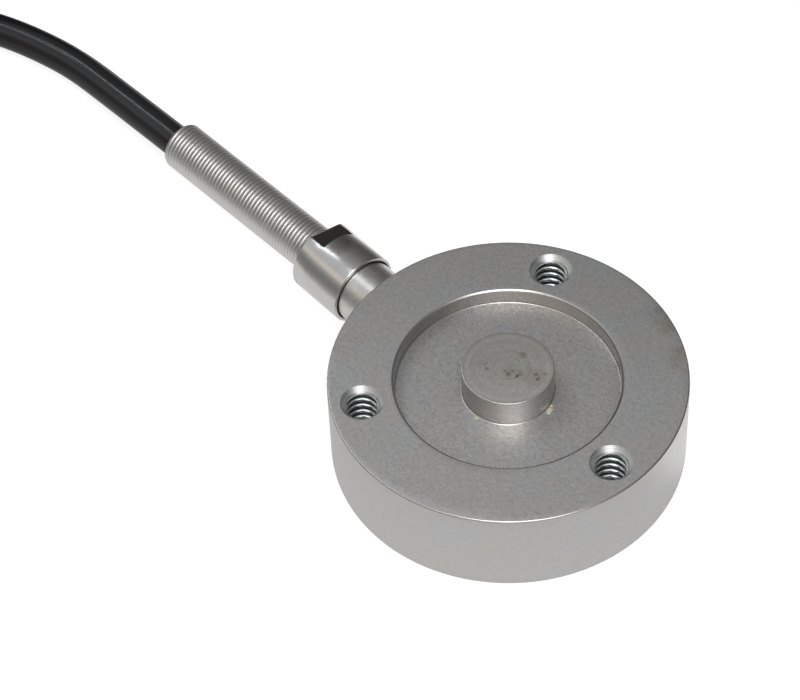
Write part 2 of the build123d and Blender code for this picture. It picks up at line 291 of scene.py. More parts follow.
def closed_piece(name, points, sharp=38.0):
    """A piece of one patch whose columns close on themselves."""
    shell = Shell()
    shell.grid(points)
    return shell.make(name, sharp=sharp)


def full_turn(count):
    """The angles of equal steps round a full turn, in radians."""
    return np.arange(count) * math.tau / count


def unit(vectors):
    """Vectors of the length one, in the same directions."""
    return vectors / np.linalg.norm(vectors, axis=-1, keepdims=True)


def lathe(profile, turns):
    """Points of a profile of (radius, height) turned about Z at the given angles in radians."""
    profile = np.asarray(profile, float)
    radius, height = profile[:, 0][:, None], profile[:, 1][:, None]
    across, along = np.cos(turns)[None, :], np.sin(turns)[None, :]
    return np.stack([radius * across, radius * along, height + 0 * across], axis=-1)


def along_x(profile, turns, height, limit=np.inf):
    """Points of a profile of (x, radius) turned about the gland's axis.

    The angle runs from +Y towards +Z. Each radius is cut back to the limit at its angle.
    """
    profile = np.asarray(profile, float)
    place, radius = profile[:, 0][:, None], profile[:, 1][:, None]
    radius = np.minimum(radius + 0 * turns[None, :], limit)
    return np.stack(
        [place + 0 * radius, radius * np.cos(turns), height + radius * np.sin(turns)], axis=-1
    )


def arc(centre, radius, first, last, steps):
    """Points of a circular arc between two angles in degrees."""
    turn = np.radians(np.linspace(first, last, steps + 1))
    return [
        (centre[0] + radius * c, centre[1] + radius * s) for c, s in zip(np.cos(turn), np.sin(turn))
    ]


def smooth(value, low, high):
    """Zero below low, one above high and a smooth step between."""
    share = np.clip((np.asarray(value, float) - low) / (high - low), 0.0, 1.0)
    return share * share * (3.0 - 2.0 * share)


def rectangle_loop(low, high, across, up):
    """Points round a rectangle from its low corner, counter-clockwise, by segment counts."""
    right = np.linspace(low[0], high[0], across + 1)
    rise = np.linspace(low[1], high[1], up + 1)
    return np.concatenate(
        [
            np.stack([right[:-1], np.full(across, low[1])], axis=-1),
            np.stack([np.full(up, high[0]), rise[:-1]], axis=-1),
            np.stack([right[:0:-1], np.full(across, high[1])], axis=-1),
            np.stack([np.full(up, low[0]), rise[:0:-1]], axis=-1),
        ]
    )


def rounded_loop(width, depth, corner, steps=6):
    """Points round a rectangle with rounded corners."""
    loop = []
    for number, (across, up) in enumerate(((1, 1), (-1, 1), (-1, -1), (1, -1))):
        centre = (across * (width / 2 - corner), up * (depth / 2 - corner))
        loop += arc(centre, corner, number * 90, number * 90 + 90, steps)
    return np.array(loop)


def rounded(points, reach, steps=3):
    """A line of points whose inner corners are each replaced by a short parabola."""
    points = np.asarray(points, float)
    line = [points[0]]
    for before, corner, after in zip(points, points[1:], points[2:]):
        first = corner + unit(before - corner) * reach
        last = corner + unit(after - corner) * reach
        for share in np.linspace(0.0, 1.0, steps + 1):
            ends = first * (1 - share) ** 2 + last * share**2
            line.append(ends + 2 * corner * share * (1 - share))
    return [tuple(point) for point in line + [points[-1]]]


def between(inner, outer, shares):
    """Rows of points that run from one loop to another."""
    shares = np.asarray(shares, float)[:, None, None]
    return inner[None] * (1 - shares) + outer[None] * shares


def polar(turn, radius, height):
    """Angles in radians, radii and heights as points."""
    parts = radius * np.cos(turn), radius * np.sin(turn), height
    return np.stack(np.broadcast_arrays(*parts), axis=-1)


def hole_directions(s):
    """The directions of the three holes from the body's axis, in radians."""
    return [s.hole_angle + number * math.tau / 3 for number in range(3)]


def on_coil(c, radius, bearing, height):
    """Points on the coil, in millimetres."""
    return polar(bearing, radius, height) + np.array([c.coil_x, c.coil_y, 0.0])


def capped(rows, first, last):
    """Rows of points between two more rows, each all on one point, that close the ends."""
    ends = [np.broadcast_to(point, (1,) + rows.shape[1:]) for point in (first, last)]
    return np.concatenate([ends[0], rows, ends[1]])


def tube_along(line, radius, around):
    """A round tube along a line of points, from frames carried along it, as rows of points."""
    heading = unit(np.gradient(line, axis=0))
    side = unit(np.cross(heading, UP))
    up = np.cross(side, heading)
    turn = full_turn(around)[None, :, None]
    radius = np.broadcast_to(np.asarray(radius, float), (len(line),))[:, None, None]
    return line[:, None] + (side[:, None] * np.cos(turn) + up[:, None] * np.sin(turn)) * radius


# Materials


def rgba(tone):
    """A colour with its alpha, from three values or one grey value."""
    if isinstance(tone, (int, float)):
        return (tone, tone, tone, 1.0)
    return (tone[0], tone[1], tone[2], 1.0)


def tinted(tone, red, green, blue):
    """A colour with each of its parts multiplied, and its alpha."""
    return (tone[0] * red, tone[1] * green, tone[2] * blue, 1.0)


def shaded(tone, factor):
    """A colour made lighter or darker, with its alpha."""
    return rgba([min(value * factor, 1.0) for value in tone])


class Tree:
    """Adds nodes to a node tree and joins them, so that a material reads as a list of steps."""

    def __init__(self, tree):
        self.tree = tree

    def add(self, kind, inputs=None, **settings):
        node = self.tree.nodes.new(kind)
        for key, value in settings.items():
            setattr(node, key, value)
        for key, value in (inputs or {}).items():
            self.put(node.inputs[key], value)
        return node

    def put(self, socket, value):
        if isinstance(value, bpy.types.NodeSocket):
            self.tree.links.new(value, socket)
        else:
            socket.default_value = value

    def math(self, operation, first, second=0.0, third=0.0):
        inputs = {0: first, 1: second, 2: third}
        return self.add("ShaderNodeMath", inputs, operation=operation).outputs[0]

    def times(self, first, second):
        return self.math("MULTIPLY", first, second)

    def scaled(self, value, factor, start):
        """The start plus the factor times the value."""
        return self.math("MULTIPLY_ADD", value, factor, start)

    def vector(self, operation, first, second=ORIGIN):
        inputs = {0: first, 1: second}
        return self.add("ShaderNodeVectorMath", inputs, operation=operation).outputs

    def distance(self, first, second=ORIGIN):
        offset = self.vector("SUBTRACT", first, second)["Vector"]
        return self.vector("LENGTH", offset)["Value"]

    def dot(self, vector, direction):
        return self.vector("DOT_PRODUCT", vector, direction)["Value"]

    def parts(self, vector):
        return self.add("ShaderNodeSeparateXYZ", {"Vector": vector}).outputs

    def join(self, x, y, z=0.0):
        return self.add("ShaderNodeCombineXYZ", {"X": x, "Y": y, "Z": z}).outputs[0]

    def noise(self, vector, scale, detail=2.0, roughness=0.5):
        inputs = {"Vector": vector, "Scale": scale, "Detail": detail, "Roughness": roughness}
        return self.add("ShaderNodeTexNoise", inputs).outputs["Fac"]

    def remap(self, value, low, high, to_low=0.0, to_high=1.0):
        """A smooth step between two values, from one result to another."""
        ends = {"From Min": low, "From Max": high, "To Min": to_low, "To Max": to_high}
        inputs = {"Value": value, **ends}
        node = self.add("ShaderNodeMapRange", inputs, interpolation_type="SMOOTHSTEP")
        return node.outputs["Result"]

    def mix(self, share, first, second, blend="MIX"):
        node = self.add("ShaderNodeMix", data_type="RGBA", blend_type=blend)
        for number, value in ((0, share), (6, first), (7, second)):
            self.put(node.inputs[number], value)
        return node.outputs[2]

    def dimmed(self, base, tone):
        """A colour multiplied by one tone."""
        return self.mix(1.0, base, self.join(tone, tone, tone), "MULTIPLY")

    def ramp(self, value, stops):
        """A colour that runs through the tones of the stops."""
        node = self.add("ShaderNodeValToRGB", {"Fac": value})
        band = node.color_ramp
        band.elements.remove(band.elements[1])
        for number, (place, tone) in enumerate(stops):
            stop = band.elements[0] if number == 0 else band.elements.new(place)
            stop.position = place
            stop.color = rgba(tone)
        return node.outputs["Color"]

    def group(self, made, **inputs):
        """A node of a group with its inputs, as its outputs."""
        node = self.add("ShaderNodeGroup", node_tree=made)
        for label, value in inputs.items():
            self.put(node.inputs[label], value)
        return node.outputs


def shader_group(name, inputs, outputs, fill):
    """A shader node group, made once: inputs with their defaults, and outputs of one value."""
    found = bpy.data.node_groups.get(name)
    if found:
        return found
    made = bpy.data.node_groups.new(name, "ShaderNodeTree")
    for label, value in inputs.items():
        kind = "NodeSocketFloat" if isinstance(value, float) else "NodeSocketVector"
        socket = made.interface.new_socket(label, in_out="INPUT", socket_type=kind)
        socket.default_value = value
    for label in outputs:
        made.interface.new_socket(label, in_out="OUTPUT", socket_type="NodeSocketFloat")
    tree = Tree(made)
    source = tree.add("NodeGroupInput").outputs
    target = tree.add("NodeGroupOutput").inputs
    for label, value in fill(tree, source).items():
        tree.put(target[label], value)
    return made


def blasted_group():
    """Fine blasted grain: a tone near one, a height, and a mask of scattered bright specks."""

    def fill(tree, source):
        place = source["Vector"]
        fine = tree.noise(place, 9000.0, 3.0, 0.6)
        coarse = tree.noise(place, 2600.0)
        speck = tree.remap(tree.noise(place, 5200.0, 1.0), 0.645, 0.7)
        pit = tree.remap(tree.noise(place, 4200.0, 2.0, 0.6), 0.3, 0.4, 1.0, 0.0)
        tone = tree.scaled(coarse, 0.3, tree.scaled(fine, 0.5, -0.4))
        tone = tree.scaled(tree.scaled(pit, -0.12, tone), source["Contrast"], 1.0)
        height = tree.scaled(pit, -0.5, tree.scaled(coarse, 0.8, fine))
        return {"Tone": tone, "Height": height, "Speck": speck}

    inputs = {"Vector": ORIGIN, "Contrast": 1.0}
    return shader_group("Blasted grain", inputs, ("Tone", "Height", "Speck"), fill)


def rings_group():
    """Turned rings: noise of the distance from the Z axis and the height, and that distance."""

    def fill(tree, source):
        parts = tree.parts(source["Vector"])
        flat = tree.join(parts["X"], parts["Y"])
        radius = tree.vector("LENGTH", flat)["Value"]
        rings = tree.noise(tree.join(radius, parts["Z"]), source["Scale"], 3.0, 0.7)
        return {"Tone": rings, "Radius": radius}

    inputs = {"Vector": ORIGIN, "Scale": 5000.0}
    return shader_group("Turned rings", inputs, ("Tone", "Radius"), fill)


def spot_group():
    """A ragged spot: one at its centre and zero beyond its radius, which noise distorts."""

    def fill(tree, source):
        away = tree.distance(source["Vector"], source["Centre"])
        away = tree.math("DIVIDE", away, source["Radius"])
        ragged = tree.noise(source["Vector"], 5200.0, 3.0, 0.6)
        away = tree.scaled(tree.math("SUBTRACT", ragged, 0.5), 1.5, away)
        return {"Mask": tree.remap(away, 0.45, 1.05, 1.0, 0.0)}

    inputs = {"Vector": ORIGIN, "Centre": ORIGIN, "Radius": 0.0002}
    return shader_group("Ragged spot", inputs, ("Mask",), fill)


def streaks_group():
    """Streaks from drawing or turning, stretched by their scale on each axis, and blotches."""

    def fill(tree, source):
        inputs = {"Vector": source["Vector"], "Scale": source["Stretch"]}
        stretched = tree.add("ShaderNodeMapping", inputs).outputs["Vector"]
        fine = tree.noise(stretched, 1.0, 4.0, 0.65)
        blotch = tree.noise(source["Vector"], 420.0, 3.0, 0.6)
        return {"Tone": fine, "Blotch": blotch}

    inputs = {"Vector": ORIGIN, "Stretch": (9000.0, 900.0, 900.0)}
    return shader_group("Drawn streaks", inputs, ("Tone", "Blotch"), fill)


class Finish(Tree):
    """A material with one Principled BSDF, whose pattern reads the object's coordinates."""

    def __init__(self, name, metallic=0.0):
        self.material = bpy.data.materials.new(name)
        self.material.use_nodes = True
        super().__init__(self.material.node_tree)
        self.shader = self.tree.nodes["Principled BSDF"].inputs
        self.shader["Metallic"].default_value = metallic
        self.place = self.add("ShaderNodeTexCoord").outputs["Object"]

    def paint(self, base, rough=None):
        """Feeds the shader its colour, and its roughness where it's given."""
        self.base = base
        self.put(self.shader["Base Color"], base)
        if rough is not None:
            self.put(self.shader["Roughness"], rough)

    def bump(self, height, distance, strength=0.5):
        """Bumps the shader's normal by a height, over a distance in millimetres."""
        inputs = {"Height": height, "Distance": distance * MM, "Strength": strength}
        self.put(self.shader["Normal"], self.add("ShaderNodeBump", inputs).outputs["Normal"])

    def normal(self):
        return self.add("ShaderNodeNewGeometry").outputs["Normal"]

    def spot(self, centre, reach):
        """The mask of a ragged spot, by its centre and its radius in millimetres."""
        centre = [value * MM for value in centre]
        made = self.group(spot_group(), Vector=self.place, Centre=centre, Radius=reach * MM)
        return made["Mask"]


def blasted_steel(steel):
    """Bead-blasted stainless steel: grainier in the recess, smoother on the side, with dirt,
    painted glints in the recess and painted shade that darkens it away from the key light.

    Crumbs of old adhesive lie at the foot of the button, and faint stains near the rim's edge.
    """
    finish = Finish("blasted_steel", 1.0)
    place = finish.place
    rings = finish.group(rings_group(), Vector=place, Scale=5000.0)
    recess = finish.remap(rings["Radius"], 10.0 * MM, 10.2 * MM, 1.0, 0.0)
    side = finish.remap(rings["Radius"], 15.8 * MM, 15.87 * MM)
    contrast = finish.scaled(side, -0.85, finish.scaled(recess, 0.5, 1.3))
    grain = finish.group(blasted_group(), Vector=place, Contrast=contrast)

    mottle = finish.remap(finish.noise(place, 260.0, 3.0, 0.6), 0.35, 0.65)
    cool, warm = tinted(steel, 0.985, 1.0, 1.02), tinted(steel, 1.01, 0.995, 0.975)
    base = finish.mix(mottle, cool, warm)
    patchy = finish.remap(finish.noise(place, 330.0, 3.0, 0.65), 0.42, 0.66)
    patchy = finish.times(patchy, finish.remap(rings["Radius"], 13.4 * MM, 15.2 * MM))
    for centre, reach, depth in (((-6.0, -14.2, 8.9), 7.5, 0.5), ((13.6, 6.6, 8.9), 4.0, 0.3)):
        away = finish.distance(place, [value * MM for value in centre])
        near = finish.remap(away, reach * 0.35 * MM, reach * MM, 1.0, 0.0)
        base = finish.mix(finish.times(finish.times(near, patchy), depth), base, STAIN)
    # Painted shade: the steel grows about a tenth darker away from the key light
    along = finish.dot(place, (0.64, -0.77, 0.0))
    painted_falloff = finish.remap(along, -6.0 * MM, 13.0 * MM, 1.0, 0.89)
    base = finish.dimmed(base, finish.times(grain["Tone"], painted_falloff))
    # Painted glints: specks in the recess given a paler colour, as if catching the light
    painted_glint = finish.times(grain["Speck"], finish.times(recess, 0.6))
    base = finish.mix(painted_glint, base, (0.92, 0.9, 0.85, 1.0))

    crumbs = 0.0
    for x, y, reach in ADHESIVE_CRUMBS:
        crumbs = finish.math("MAXIMUM", finish.spot((x, y, 7.3), reach), crumbs)
    rough = finish.scaled(crumbs, 0.3, finish.scaled(grain["Speck"], -0.16, 0.48))
    finish.paint(finish.mix(crumbs, base, ADHESIVE), rough)
    finish.put(finish.shader["Metallic"], finish.scaled(crumbs, -0.9, 1.0))
    finish.bump(finish.scaled(crumbs, 4.0, grain["Height"]), 0.02, 0.55)
    return finish


def wall_steel(name, steel, shades=(), sharpness=2.0):
    """Turned steel, smoother than the blasted faces, with fine turned lines.

    Each shade is a direction and a depth: it darkens the faces that look towards a dark side of
    the studio, by a power of the share that faces it.
    """
    finish = Finish(name, 1.0)
    rings = finish.group(rings_group(), Vector=finish.place, Scale=7000.0)["Tone"]
    soft = finish.noise(finish.place, 500.0, 3.0, 0.6)
    normal = finish.normal()
    light = 1.0
    for across, along, depth in shades:
        facing = finish.math("MAXIMUM", finish.dot(normal, (across, along, 0.0)), 0.0)
        light = finish.scaled(finish.math("POWER", facing, sharpness), -depth, light)
    tone = finish.scaled(soft, 0.16, finish.scaled(rings, 0.1, 0.84))
    tone = finish.times(tone, finish.math("MAXIMUM", light, 0.12))
    base = finish.dimmed(tinted(steel, 1.0, 0.965, 0.945), tone)
    finish.paint(base, finish.scaled(rings, 0.1, 0.22))
    finish.bump(rings, 0.001)
    return finish


def thread_steel(s):
    """Cut threads: a painted highlight on the crests, painted shade towards the roots and a
    painted highlight again in the mouth.

    The tone goes by the distance from the axis of the nearest hole.
    """
    finish = Finish("cut_steel", 1.0)
    parts = finish.parts(finish.place)
    flat = finish.join(parts["X"], parts["Y"])
    away = 1.0
    for turn in hole_directions(s):
        axis = (s.hole_circle * MM * math.cos(turn), s.hole_circle * MM * math.sin(turn), 0.0)
        away = finish.math("MINIMUM", finish.distance(flat, axis), away)
    # Painted highlight on the crests and in the mouth, painted shade towards the roots
    crest = finish.remap(away, 1.39 * MM, 1.53 * MM, 1.0, 0.04)
    mouth = finish.times(finish.remap(parts["Z"], 8.26 * MM, 8.4 * MM), 0.8)
    lines = finish.noise(finish.join(away, parts["Z"]), 9000.0, 2.0, 0.6)
    lines = finish.remap(lines, 0.3, 0.7)
    tone = finish.times(finish.math("MAXIMUM", crest, mouth), finish.scaled(lines, 0.4, 0.78))
    # Painted shade: dark teal at the roots; painted highlight: the steel made brighter on the
    # crests
    base = finish.mix(tone, (0.006, 0.03, 0.032, 1.0), tinted(s.steel, 1.2, 1.23, 1.25))
    finish.paint(base, finish.scaled(lines, 0.1, 0.32))
    return finish


def turned_steel(name, steel, roughness, stretch, grain=0.25, depth=0.004):
    """Bright turned steel with fine streaks, by their scale on each axis."""
    finish = Finish(name, 1.0)
    streak = finish.group(streaks_group(), Vector=finish.place, Stretch=stretch)
    tone = finish.scaled(streak["Tone"], grain, 0.94 - grain * 0.5)
    tone = finish.scaled(streak["Blotch"], 0.12, tone)
    base = finish.dimmed(rgba(steel), tone)
    finish.paint(base, finish.scaled(streak["Tone"], 0.14, roughness - 0.07))
    finish.bump(streak["Tone"], depth)
    return finish


def button_steel(s):
    """The top of the button: turned rings under the blasting, with specks of rust, and a
    painted light that brightens it towards the key lamp.
    """
    finish = Finish("button_steel", 1.0)
    place = finish.place
    grain = finish.group(blasted_group(), Vector=place)
    rings = finish.group(rings_group(), Vector=place, Scale=4500.0)["Tone"]
    tone = finish.times(finish.scaled(rings, 0.4, 0.8), grain["Tone"])
    # Painted light: the top grows about a fifth brighter towards the key lamp's side
    toward_key = finish.dot(place, (-0.91, 0.41, 0.0))
    tone = finish.times(tone, finish.remap(toward_key, -2.0 * MM, 4.0 * MM, 0.98, 1.17))
    base = finish.dimmed(tinted(s.steel, 1.03, 1.015, 0.965), tone)
    for x, y, reach, depth in RUST_SPOTS:
        spot = finish.spot((x, y, s.button_top), reach)
        base = finish.mix(finish.times(spot, depth * 1.2), base, RUST)
    finish.paint(base, finish.scaled(rings, 0.2, 0.32))
    finish.bump(finish.scaled(rings, 1.5, grain["Height"]), 0.012)
    return finish


def collar_steel(g):
    """Turned steel with painted shade on the upper spanner flat, and an oily spot beside it."""
    finish = turned_steel("gland_steel", g.steel, 0.2, (9000.0, 500.0, 500.0))
    # Painted shade: the upper flat, found by the way it faces, is darkened
    upward = (0.0, math.cos(g.flat_angle), math.sin(g.flat_angle))
    level = finish.remap(finish.dot(finish.normal(), upward), 0.97, 0.995)
    along, start = finish.parts(finish.place)["X"], g.flat_start * MM
    level = finish.times(level, finish.remap(along, start, start + 0.05 * MM))
    base = finish.mix(finish.times(level, 0.8), finish.base, FLAT_SHADE)
    spot = finish.spot((22.9, -0.2, g.height + g.collar_radius), 1.3)
    finish.paint(finish.mix(finish.times(spot, 0.55), base, OILY))
    return finish


def spring_steel(wire):
    """Drawn wire, with painted shade where it faces the strip light and a painted highlight just
    past that.
    """
    finish = turned_steel("spring_steel", wire, 0.36, (900.0, 900.0, 900.0), 0.12, 0.001)
    normal = finish.normal()
    # Painted shade where the wire faces the strip light, and a painted highlight just past it
    painted_dimming = finish.remap(finish.dot(normal, (0.0, 0.469, 0.883)), 0.84, 0.97, 1.0, 0.45)
    painted_sheen = finish.remap(finish.dot(normal, (0.0, -0.156, 0.988)), 0.93, 1.0, 1.0, 1.35)
    finish.paint(finish.dimmed(finish.base, finish.times(painted_dimming, painted_sheen)))
    return finish


def plastic(name, tone, roughness, grain=900.0, depth=0.01):
    """A moulded or extruded plastic with a slight unevenness."""
    finish = Finish(name)
    uneven = finish.noise(finish.place, grain, 3.0, 0.6)
    soft = finish.noise(finish.place, grain * 0.12)
    base = finish.mix(soft, shaded(tone, 0.75), shaded(tone, 1.35))
    finish.paint(base, finish.scaled(uneven, 0.16, roughness - 0.08))
    finish.bump(uneven, depth)
    return finish


def metal(name, tone, roughness):
    """A small plain metal part with a fine unevenness."""
    finish = Finish(name, 1.0)
    uneven = finish.noise(finish.place, 3000.0, 3.0, 0.6)
    base = finish.mix(uneven, shaded(tone, 0.8), rgba(tone))
    finish.paint(base, finish.scaled(uneven, 0.2, roughness - 0.1))
    finish.bump(uneven, 0.006, 0.4)
    return finish


# Finishes of the CAD nodes that are shown as they are
PLAIN_FINISHES = {
    "gauge_film": (plastic, (0.6, 0.32, 0.08), 0.2),
    "enamelled_wire": (metal, (0.6, 0.3, 0.15), 0.3),
    "board_laminate": (plastic, (0.05, 0.25, 0.12), 0.4),
    "solder": (metal, (0.65, 0.65, 0.63), 0.3),
    "resistor_ceramic": (plastic, (0.08, 0.08, 0.09), 0.5),
    "seal_rubber": (plastic, (0.06, 0.06, 0.06), 0.7),
    "washer_brass": (metal, (0.7, 0.55, 0.25), 0.3),
    "red_insulation": (plastic, (0.55, 0.03, 0.03), 0.42),
    "black_insulation": (plastic, (0.025, 0.025, 0.025), 0.42),
    "green_insulation": (plastic, (0.03, 0.3, 0.08), 0.42),
    "white_insulation": (plastic, (0.72, 0.72, 0.69), 0.42),
    "grey_insulation": (plastic, (0.35, 0.35, 0.35), 0.42),
}


def fit_out(piece, slot, finishes, *nodes):
    """Gives a piece its materials, rides it on the root and hides the CAD nodes it replaces."""
    for finish in finishes:
        piece.data.materials.append(finish.material)
    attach(piece, "root")
    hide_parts(*nodes)


# The body


def hole_turns(direction):
    """Angles round a hole, in as many columns as its third of the rim has."""
    total = 2 * (THIRD + RUN)
    return direction - math.radians(90.0 - 180.0 * RUN / total) + full_turn(total)


def round_hole(s, direction, radius):
    """X and Y of points round a hole, at one radius or at one for each angle."""
    turn = hole_turns(direction)
    x = s.hole_circle * math.cos(direction) + radius * np.cos(turn)
    y = s.hole_circle * math.sin(direction) + radius * np.sin(turn)
    return x, y


def annulus(shell, s, inner, outer, height, mouth, up):
    """A flat ring between two radii with the three holes in it, as patches joined to the holes."""
    for centre in hole_directions(s):
        low, high = (centre - math.pi / 3, outer), (centre + math.pi / 3, inner)
        x, y = round_hole(s, centre, mouth)
        bearing = centre + (np.arctan2(y, x) - centre + math.pi) % math.tau - math.pi
        circle = np.stack([bearing, np.hypot(x, y)], axis=-1)
        outline = rectangle_loop(low, high, THIRD, RUN)
        rows = between(circle, outline, [0.0, 0.05, 0.35, 0.7, 1.0])
        shell.grid(polar(rows[..., 0], rows[..., 1], height), OUTER, flip=not up)


def threaded_hole(shell, s, direction):
    """A right-handed thread cut through the rim, with a 45 degree mouth at the top.

    The phase at an angle t and a height z is z over the pitch less t over a full turn. The radius
    is the root plus the depth times a smooth step of the distance from the crest. The thread runs
    out below the mouth.
    """
    rows_per_pitch, crest, root = 12, 0.25, 0.875
    run_out, run_end, lower_slope = 0.62, 0.3, 1.2
    rows = int(round(s.height / s.thread_pitch * rows_per_pitch))
    height = np.linspace(0.0, s.height, rows + 1)[:, None]
    phase = (height / s.thread_pitch - hole_turns(direction) / math.tau) % 1.0
    flank = smooth(np.abs(2 * phase - 1), crest, root)
    flank = flank * (1 - smooth(height, s.height - run_out, s.height - run_end))
    radius = s.thread_minor + s.thread_depth * flank
    radius = np.maximum(radius, s.mouth_radius - (s.height - height))
    radius = np.maximum(radius, LOWER_MOUTH - height * lower_slope)
    radius[0], radius[-1] = LOWER_MOUTH, s.mouth_radius
    x, y = round_hole(s, direction, radius)
    shell.grid(np.stack([x, y, height + 0 * x], axis=-1), CUT)


def pierced_wall(shell, radius, low, high, hole, height, mark, flip):
    """A round wall with a hole through it towards +X, and the points round the hole's edge."""
    storeys, step = 12, math.tau / SEGMENTS
    levels = np.linspace(low, high, storeys + 1)
    turns = np.arange(RUN, SEGMENTS - RUN + 1) * step
    shell.grid(lathe([(radius, level) for level in levels], turns), mark, False, flip)
    outline = rectangle_loop((-RUN * step, low), (RUN * step, high), 2 * RUN, storeys)
    total = len(outline)
    spin = -math.pi / 2 - math.tau * RUN / total + full_turn(total)
    bearing = np.arcsin(hole * np.cos(spin) / radius)
    circle = np.stack([bearing, height + hole * np.sin(spin)], axis=-1)
    rows = between(circle, outline, [0.0, 0.06, 0.3, 0.6, 1.0])
    wall = polar(rows[..., 0], radius, rows[..., 1])
    shell.grid(wall, mark, flip=flip)
    return wall[0], spin


def build_body(s, g):
    """The body with its threaded holes, its recess and button, and the cavity and socket."""
    shell = Shell()
    base, foot, tip, soft, corner = s.base_edge, s.foot, s.button_edge, s.edge_round, 0.3
    high, floor, wall, button = s.height, s.floor_height, s.recess_radius, s.button_radius
    top, roof, cavity = s.button_top, s.roof_height, s.cavity_radius
    wall_top, recess_top = high - s.rim_drop - soft, high - s.recess_drop - soft
    flat_outer = s.radius - s.rim_edge - soft
    flat_inner = wall + s.recess_edge + soft

    annulus(shell, s, flat_inner, flat_outer, high, s.mouth_radius, True)
    annulus(shell, s, s.seat_radius, s.radius - base, 0.0, LOWER_MOUTH, False)
    for direction in hole_directions(s):
        threaded_hole(shell, s, direction)

    outer_edge = [
        (s.radius, wall_top),
        (s.radius, high - s.rim_drop),
        (s.radius - s.rim_edge, high),
        (flat_outer, high),
    ]
    inner_edge = [
        (flat_inner, high),
        (wall + s.recess_edge, high),
        (wall, high - s.recess_drop),
        (wall, recess_top),
    ]
    across = (wall - foot, wall - foot - 0.1, 8.0, 6.0, button + foot + 0.1, button + foot)
    over = (button - tip, button - tip - 0.06, 3.0, 2.0, 1.0, 0.0)
    seat = [(s.seat_radius, 0.0), (s.seat_radius, s.seat_height), (cavity, s.seat_height)]
    ceiling = arc((cavity - corner, roof - corner), corner, 0, 90, 4)
    ceiling += [(6.0, roof), (3.0, roof), (0.0, roof)]
    for profile, mark in (
        (arc((s.radius - base, base), base, -90, 0, 4), EDGE),
        (rounded(outer_edge, soft * 0.99), EDGE),
        (rounded(inner_edge, soft * 0.99), LIP),
        ([(wall, recess_top), (wall, floor + foot)], WALL),
        (arc((wall - foot, floor + foot), foot, 0, -90, 5), WALL),
        ([(radius, floor) for radius in across], OUTER),
        (arc((button + foot, floor + foot), foot, 270, 180, 5), SIDE),
        ([(button, floor + foot), (button, top - tip)], SIDE),
        (arc((button - tip, top - tip), tip, 0, 90, 4), EDGE),
        ([(radius, top) for radius in over], TOP),
        (seat, INNER),
        (ceiling, INNER),
    ):
        shell.grid(lathe(profile, full_turn(SEGMENTS)), mark)

    outer, spin = pierced_wall(
        shell, s.radius, base, wall_top, g.socket_radius, g.height, OUTER, False
    )
    inner, _ = pierced_wall(
        shell, cavity, s.seat_height, roof - corner, g.passage_radius, g.height, INNER, True
    )
    steps = [
        (g.stem_start + 1.5, g.socket_radius),
        (g.stem_start, g.socket_radius),
        (g.stem_start, g.passage_radius),
    ]
    tunnel = along_x(steps, spin, g.height)
    shell.grid(np.concatenate([outer[None], tunnel, inner[None]]), INNER)
    finishes = [
        blasted_steel(s.steel),
        button_steel(s),
        thread_steel(s),
        turned_steel("cavity_steel", s.steel, 0.34, (1500.0, 1500.0, 9000.0)),
        wall_steel("recess_steel", s.steel, [(0.8, 0.6, 0.8), (-0.9, 0.436, 0.5)]),
        wall_steel("button_side_steel", s.steel, [(0.8, 0.6, 0.8), (-0.5, 0.866, 0.33)]),
        wall_steel("lip_steel", s.steel, [(0.8, 0.6, 1.1)], 1.0),
        wall_steel("edge_steel", s.steel),
    ]
    fit_out(shell.make("load_cell_body"), "blasted_steel", finishes, "body")


class LOADCELL_OT_body(bpy.types.Operator):
    """Builds the turned body with its threaded holes, recess and load button."""

    bl_idname = "loadcell.body"
    bl_label = "Body"

    def execute(self, context):
        build_body(sizes(context.scene.load_cell_body), sizes(context.scene.load_cell_gland))
        return {"FINISHED"}


class LOADCELL_OT_cover(bpy.types.Operator):
    """Builds the bottom cover with its weld bead, a turned disc sunk a little into the base."""

    bl_idname = "loadcell.cover"
    bl_label = "Bottom cover"

    def execute(self, context):
        s = sizes(context.scene.load_cell_body)
        sunk, top, clearance = 0.1, 1.1, 0.03
        rim = s.seat_radius - clearance
        profile = [(0.0, sunk), (5.0, sunk), (9.4, sunk), (9.55, 0.16)]
        profile += arc((9.86, 0.17), 0.27, 195, 300, 6)
        profile = [(radius, max(height, sunk + 0.002)) for radius, height in profile]
        profile += [(rim - 0.05, 0.13), (rim, 0.18), (rim, top - 0.06), (rim - 0.06, top)]
        profile += [(5.0, top), (0.0, top)]
        piece = closed_piece("welded_cover", lathe(profile, full_turn(SEGMENTS)))
        steel = turned_steel("cover_steel", s.steel, 0.36, (900.0, 9000.0, 900.0))
        fit_out(piece, "cover_steel", [steel], "bottom_cover")
        return {"FINISHED"}


# The gland and its spring


def build_stem(g):
    """The hollow stem, with a wider bore for the seal at its outer end."""
    mouth = g.stem_end - g.seal_length
    profile = [
        (g.stem_start, g.bore_radius),
        (g.stem_start, g.stem_radius - 0.1),
        (g.stem_start + 0.1, g.stem_radius),
        (g.stem_end - 0.15, g.stem_radius),
        (g.stem_end, g.stem_radius - 0.15),
        (g.stem_end, g.seal_radius),
        (mouth, g.seal_radius),
        (mouth, g.bore_radius),
        (g.stem_start, g.bore_radius),
    ]
    piece = closed_piece("gland_tube", along_x(profile, full_turn(120), g.height))
    matt = tinted(g.steel, 1.05, 1.04, 1.03)
    steel = turned_steel("stem_steel", matt, 0.32, (3200.0, 1800.0, 1800.0), 0.5, 0.02)
    fit_out(piece, "gland_steel", [steel], "gland_stem")


